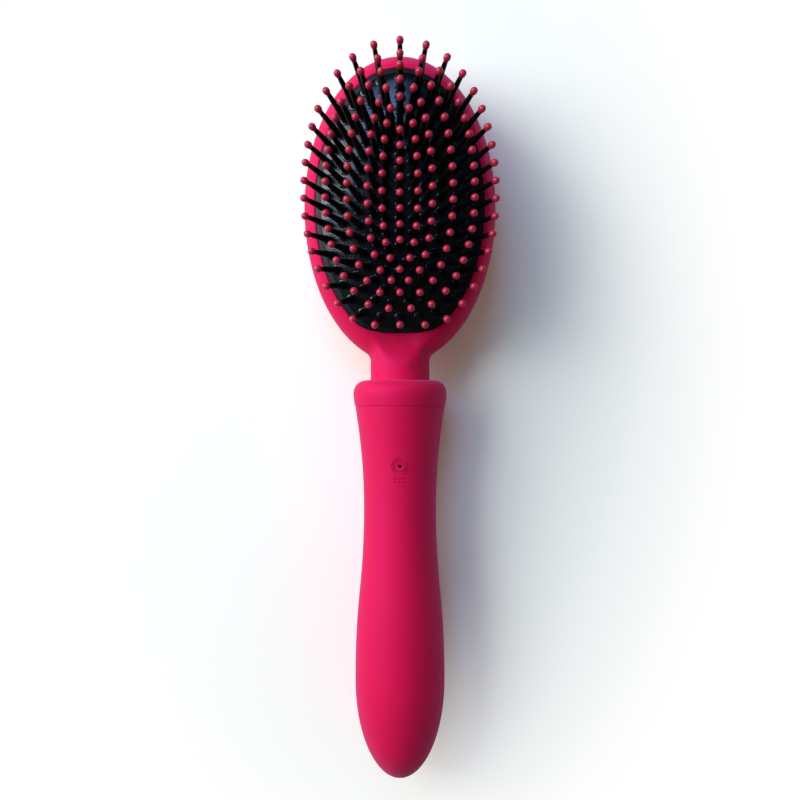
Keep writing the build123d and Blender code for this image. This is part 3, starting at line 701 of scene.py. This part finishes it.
def make_head():
    """Shell from the neck's end to the pad's opening: loops where curved sheets cut the head.

    Each loop lies in a sheet that goes down at a station of the neck or scoop and turns to a point of the
    back's middle line. Rays in the sheet, halved to where the distance is nought, give the loop's points.
    """
    turns = np.arange(head_columns) / head_columns * 2 * pi
    first = atan2(-neck_radius, first_loop_station - head_centre)
    last = atan2(last_loop_height, head_top_reach * 0.94)
    swing = np.linspace(first, last, 600)
    along, up = np.cos(swing), np.sin(swing)
    reach = solve(lambda t: head_gap(0 * t, head_centre + t * along, t * up), 1.0, 90 + 0 * swing)
    back_station = head_centre + reach * along
    back_height = reach * up
    lengths = np.concatenate(([0], np.cumsum(np.hypot(np.diff(back_station), np.diff(back_height)))))
    share = np.linspace(0, 1, head_rows)
    far_station = np.interp(share * lengths[-1], lengths, back_station)[:, None]
    far_height = np.interp(share * lengths[-1], lengths, back_height)[:, None]
    share = share[:, None]
    near_station = first_loop_station + (last_loop_station - first_loop_station) * share
    near_height = solve(lambda h: head_gap(0 * h, near_station, h), 0 * share, 0 * share + 14)
    bend_height = last_loop_height * share

    def sheet(x, t):
        """Point of each row's sheet: a quadratic curve from the near point to the far one."""
        station = (1 - t) ** 2 * near_station + 2 * t * (1 - t) * near_station + t**2 * far_station
        height = (1 - t) ** 2 * near_height + 2 * t * (1 - t) * bend_height + t**2 * far_height
        return x, station, height

    middle = 0.5 + 0.2 * share
    wide = solve(lambda w: head_gap(*sheet(w, middle)), 0 * share, 0 * share + 45)
    ahead = np.cos(turns)[None, :]
    span = np.where(ahead > 0, 1 - middle, middle)

    def ray(t):
        return sheet(t * wide * np.sin(turns)[None, :], middle + t * span * ahead)

    loop = ray(solve(lambda t: head_gap(*ray(t)), 0 * ahead + 0 * share, 0 * ahead + 0 * share + 1.35))
    neck_stations = np.linspace(neck_end_station, first_loop_station, 5)[:-1, None]
    neck_points = (loop[0][:1], neck_stations, loop[2][:1])
    grid = [place(*neck_points), place(*loop)]

    edge_x, edge_station = loop[0][-1], loop[1][-1]
    lip_x, lip_station = edge_x, edge_station
    for _ in range(6):
        away = pad_gap(lip_x, lip_station)
        out_x, out_station = slope_of(pad_gap, lip_x, lip_station)
        lip_x = lip_x - away * out_x
        lip_station = lip_station - away * out_station
    out_x, out_station = slope_of(pad_gap, lip_x, lip_station)
    whole = np.hypot(edge_x - lip_x, edge_station - lip_station)
    for share_left in np.linspace(1, 0, 19)[1:]:
        off = lip_roll + (whole - lip_roll) * share_left
        x = lip_x + (edge_x - lip_x) * off / whole
        station = lip_station + (edge_station - lip_station) * off / whole
        height = solve(lambda h: head_gap(x, station, h), 0 * x, 0 * x + 12)
        grid.append(place(x, station, height)[None])
    for turn in np.linspace(0, pi / 2, 6)[1:]:
        off = lip_roll * (1 - sin(turn))
        x = lip_x + out_x * off
        station = lip_station + out_station * off
        height = solve(lambda h: head_gap(x, station, h), 0 * x, 0 * x + 12)
        grid.append(place(x, station, height - lip_roll * (1 - cos(turn)))[None])
    grid.append(place(lip_x, lip_station, pad_floor)[None])

    inner = []
    for row in list(range(0, head_rows, 4)) + [head_rows - 1]:
        x, station, height = (part[row] + 0 * turns for part in loop)
        point = (x, station, height)
        normal = slope_of(head_gap, *point)
        inner.append(place(*(value - head_wall * part for value, part in zip(point, normal)))[None])
    x, station, height = (part[0] + 0 * turns for part in loop)
    shrink = 1 - head_wall / neck_radius
    inner.insert(0, place(x * shrink, neck_end_station, height * shrink)[None])
    grid += inner[::-1]
    grid.append(grid[0][:1])
    piece("head_shell", [(np.concatenate(grid), True, None)], "head", "silicone", ["head_sleeve"])


def scatter(profile, segments, roots, forward, sideways, upward):
    """The same small revolved shape at many places: rows of (radius, height) turned about each axis."""
    turns = np.arange(segments) / segments * 2 * pi
    radii, heights = np.array(profile).T
    across = np.cos(turns)[:, None] * sideways[:, None, None, :]
    ring = across + np.sin(turns)[:, None] * forward[:, None, None, :]
    lifted = heights[None, :, None, None] * upward[:, None, None, :]
    return roots[:, None, None, :] + radii[None, :, None, None] * ring + lifted


def frames(upward):
    """Two directions square to each upward one."""
    sideways = np.cross(np.array([0.0, 1.0, 0.0]), upward)
    sideways /= np.linalg.norm(sideways, axis=1, keepdims=True)
    return np.cross(upward, sideways), sideways


def make_studs():
    """Low domes on the head's back, evenly spaced on shrinking rings, with feet that flow into the skin."""
    turns = np.linspace(0, 2 * pi, 721)
    xs = []
    stations = []
    for ring in range(stud_rings):
        share = 1 - ring * stud_ring_share
        outline_x = stud_half_width * share * np.sin(turns)
        outline_y = stud_half_length * share * np.cos(turns)
        length = np.hypot(np.diff(outline_x), np.diff(outline_y)).sum()
        x, y = evenly_round(outline_x, outline_y, round(length / stud_spacing), 0.5 * (ring % 2))
        xs.append(x)
        stations.append(stud_centre + y)
    x = np.concatenate(xs)
    station = np.concatenate(stations)
    height = -solve(lambda h: head_gap(x, station, -h), 0 * x + 2, 0 * x + 20)
    upward = np.stack(slope_of(head_gap, x, station, height), axis=-1)
    forward, sideways = frames(upward)
    roots = np.stack((x, station, height), axis=-1)
    points = scatter(stud_outline, stud_facets, roots, forward, sideways, upward)
    sheets = [(place(*np.moveaxis(stud, -1, 0)), True, None) for stud in points]
    piece("head_studs", sheets, "head", "silicone", sharp=60.0)


# Pad

def crown_height(x, station):
    """Height of the cushion's face: a ball stretched along the pad."""
    lengthwise = (station - head_centre) / crown_stretch
    return crown_top - crown_radius + np.sqrt(crown_radius**2 - x**2 - lengthwise**2)


def pad_loop(inset, count=220):
    """Plan of the pad's outline drawn in by an inset: rays from its centre, halved to the distance."""
    turns = np.arange(count) / count * 2 * pi
    wide = pad_half_width * np.sin(turns)
    long = pad_half_length * np.cos(turns)
    t = solve(lambda t: pad_gap(t * wide, head_centre + t * long) + inset, 0 * turns, 0 * turns + 1.2)
    return t * wide, head_centre + t * long


def make_pad_frame():
    """Strip swept round the pad's outline: its face rises inwards to meet the cushion's, edges rounded."""
    inset, height, edge = strip_edge
    rounded = [(inset - edge * cos(turn), height + edge * sin(turn)) for turn in np.linspace(0, pi / 3, 4)]
    section = [strip_foot, *rounded, *strip_face, strip_foot]
    grid = np.stack([place(*pad_loop(inset), height) for inset, height in section])
    piece("pad_edge_strip", [(grid, True, None)], "head", "frame_plastic", ["pad_frame"])


def make_cushion():
    """Crowned rubber sheet: a flange under the strip, a rolled shoulder, then loops to the middle."""
    grid = [place(*pad_loop(flange_inset), height) for height in (cushion_floor, flange_height)]
    grid += [place(*pad_loop(cushion_edge), height) for height in (flange_height, cushion_edge_height)]
    for share in np.linspace(0, 1, 9):
        x, station = pad_loop(cushion_edge + cushion_gap + (cushion_shoulder - cushion_gap) * share)
        grid.append(place(x, station, crown_height(x, station) - cushion_sink * (1 - share) ** 2))
    x, station = pad_loop(cushion_edge + cushion_shoulder)
    for share in np.linspace(1, 0, 46)[1:]:
        inner_x = x * share
        inner_station = head_centre + (station - head_centre) * share
        grid.append(place(inner_x, inner_station, crown_height(inner_x, inner_station)))
    x, station = pad_loop(flange_inset)
    back = station - head_centre
    floor = [place(x * share, head_centre + back * share, cushion_floor) for share in (0, 0.5, 1)]
    sheets = [(np.stack(grid), True, None), (np.stack(floor), True, None)]
    made = piece("pad_cushion", sheets, "head", "pad_rubber", ["cushion"])


def pin_roots():
    """Plan places of the pins: spaced along egg rings with straight feet, and one column."""
    turns = np.linspace(0, 2 * pi, 721)
    xs = []
    stations = []
    power = 2 / ring_squareness
    for half_width, top, foot, low_reach, spread, count in pin_rings:
        outline_x = half_width * np.abs(np.sin(turns)) ** power * np.sign(np.sin(turns))
        high = widest_station + (top - widest_station) * np.abs(np.cos(turns)) ** power
        low = np.maximum(widest_station - low_reach * np.abs(np.cos(turns)) ** power, foot)
        closeness = 1 - spread * np.cos((turns[1:] + turns[:-1]) / 2) ** 2
        outline_y = np.where(np.cos(turns) > 0, high, low)
        x, station = evenly_round(outline_x, outline_y, count, closeness=closeness)
        xs.append(x)
        stations.append(station)
    xs.append(0 * column_stations)
    stations.append(column_stations)
    return np.concatenate(xs), np.concatenate(stations)


def make_bristles():
    """Tapered pins fanned out over the crown, a bead on each, and a raised rubber ring at each foot."""
    x, station = pin_roots()
    crownward = np.maximum(station - fan_station, 0) / (pin_rings[0][1] - fan_station)
    fan = (fan_out + edge_fan * (x / pin_rings[0][0]) ** 4) * (1 + crown_fan * crownward**2)
    lean_x = fan * x / pin_length
    lean_along = np.where(crownward > 0, crown_fan_along, fan_along) * (station - fan_station) / pin_length
    upward = np.stack((lean_x, lean_along, np.sqrt(1 - lean_x**2 - lean_along**2)), axis=-1)
    forward, sideways = frames(upward)
    roots = np.stack((x, station, crown_height(x, station)), axis=-1)
    for name, outline, facets, slot, node in (
        ("pin_shanks", shank_outline, pin_facets, "pin_plastic", "bristle_pins"),
        ("pin_beads", bead_outline, bead_facets, "tip_plastic", "ball_tips"),
    ):
        points = scatter(outline, facets, roots, forward, sideways, upward)
        sheets = [(place(*np.moveaxis(one, -1, 0)), True, None) for one in points]
        piece(name, sheets, "head", slot, [node], sharp=60.0)
    turns = np.arange(pin_facets) / pin_facets * 2 * pi
    radii, lifts = np.array(foot_outline).T
    sheets = []
    for root_x, root_station in zip(x, station):
        ring_x = root_x + radii[:, None] * np.cos(turns)
        ring_station = root_station + radii[:, None] * np.sin(turns)
        height = crown_height(ring_x, ring_station) + lifts[:, None]
        sheets.append((place(ring_x, ring_station, height), True, None))
    piece("pin_foot_rings", sheets, "head", "pad_rubber", sharp=60.0)


make_grip()
for key in button_stations:
    make_button(key)
make_collar()
make_head()
make_studs()
make_pad_frame()
make_cushion()
make_bristles()

# The pieces inside keep their solids and take the finish of their slot
slot_of = {part["node"]: part["material_slot"] for part in frame["record"]["subparts"]}
for node_name, node_object in frame["nodes"].items():
    node_object.data.materials.clear()
    node_object.data.materials.append(materials[slot_of[node_name]])


# Stage: white floor, white surround that mirrors dark, two soft boxes and a plain ambient light

def softbox(name, azimuth, elevation, distance, width, height, level, colour):
    """Oblong lamp aimed at the brush's middle. Level 1 shows a facing colour as it is written."""
    lamp = bpy.data.lights.new(name, "AREA")
    lamp.shape = "RECTANGLE"
    lamp.size = width
    lamp.size_y = height
    lamp.energy = level * (pi * distance) ** 2
    lamp.color = linear(colour)[:3]
    made = bpy.data.objects.new(name, lamp)
    bpy.context.scene.collection.objects.link(made)
    turn = radians(azimuth)
    rise = radians(elevation)
    aim = Vector((-cos(turn) * cos(rise), sin(turn) * cos(rise), sin(rise)))
    made.location = Vector((0, 0, axis_height * MM)) + aim * distance
    made.rotation_euler = aim.to_track_quat("Z", "Y").to_euler()


def choose(tree, share, first, second):
    """Shader that turns from the first to the second as the share goes from 0 to 1."""
    return add(tree, "ShaderNodeMixShader", {0: share, 1: first, 2: second}).outputs["Shader"]


softbox("left_softbox", 24, 32, 1.0, 0.7, 0.85, 1.07, "#FDFFFF")
softbox("crown_softbox", 74, 52, 1.0, 0.44, 0.24, 0.24, "#A4C4FF")

floor_half = 1.4
# The studs stand on the floor, a little under the solids' ground
floor_level = -0.45 * MM
floor_mesh = bpy.data.meshes.new("floor")
corners = [(x * floor_half, y * floor_half, floor_level) for x, y in ((-1, -1), (1, -1), (1, 1), (-1, 1))]
floor_mesh.from_pydata(corners, [], [(0, 1, 2, 3)])
floor = bpy.data.objects.new("floor", floor_mesh)
bpy.context.scene.collection.objects.link(floor)
paper = bpy.data.materials.new("white_paper")
paper.use_nodes = True
tree = paper.node_tree
tree.nodes.clear()
where = add(tree, "ShaderNodeTexCoord").outputs["Object"]
path = add(tree, "ShaderNodeLightPath")
stretched = add(tree, "ShaderNodeVectorMath", {0: where, 1: (1.0, 0.62, 1.0), 2: (0.0, -0.014, 0.0)},
                operation="MULTIPLY_ADD").outputs[0]
far = add(tree, "ShaderNodeVectorMath", {0: stretched}, operation="LENGTH").outputs["Value"]
fade_from, fade_to = 0.05, 0.13
fade = add(
    tree,
    "ShaderNodeMapRange",
    {"Value": far, "From Min": fade_from, "From Max": fade_to},
    interpolation_type="SMOOTHSTEP",
).outputs["Result"]
seen = add(tree, "ShaderNodeBsdfDiffuse", {"Color": (1.28, 1.36, 1.26, 1.0)}).outputs["BSDF"]
bounced = add(tree, "ShaderNodeBsdfDiffuse", {"Color": linear("#E4E4E4")}).outputs["BSDF"]
white = add(tree, "ShaderNodeEmission", {"Color": linear("#FFFFFF"), "Strength": 1.0}).outputs["Emission"]
faded = choose(tree, fade, seen, white)
shown = choose(tree, path.outputs["Is Camera Ray"], bounced, faded)
add(tree, "ShaderNodeOutputMaterial", {"Surface": shown})
floor_mesh.materials.append(paper)

surround = bpy.data.worlds.new("surround")
bpy.context.scene.world = surround
surround.use_nodes = True
tree = surround.node_tree
tree.nodes.clear()
path = add(tree, "ShaderNodeLightPath")
ambient, mirrored, white = (
    add(tree, "ShaderNodeBackground", {"Color": linear(colour), "Strength": strength}).outputs["Background"]
    for colour, strength in (("#FFF7E9", 0.15), ("#FFFFFF", 0.05), ("#FFFFFF", 1.0))
)
unseen = choose(tree, path.outputs["Is Glossy Ray"], ambient, mirrored)
shown = choose(tree, path.outputs["Is Camera Ray"], unseen, white)
add(tree, "ShaderNodeOutputWorld", {"Surface": shown})

# Camera: straight above the brush, as in the photograph's view of the bristle face
photo_width = 800
photo_scale = 2.88
camera_distance = 400.0
camera_station = 130.9
camera = bpy.data.cameras.new("camera")
camera.sensor_width = 36.0
camera.lens = camera.sensor_width * camera_distance * photo_scale / photo_width
camera_object = bpy.data.objects.new("camera", camera)
bpy.context.scene.collection.objects.link(camera_object)
camera_object.location = Vector(place(0.0, camera_station, camera_distance))
bpy.context.scene.camera = camera_object
bpy.context.scene.view_settings.view_transform = "Standard"
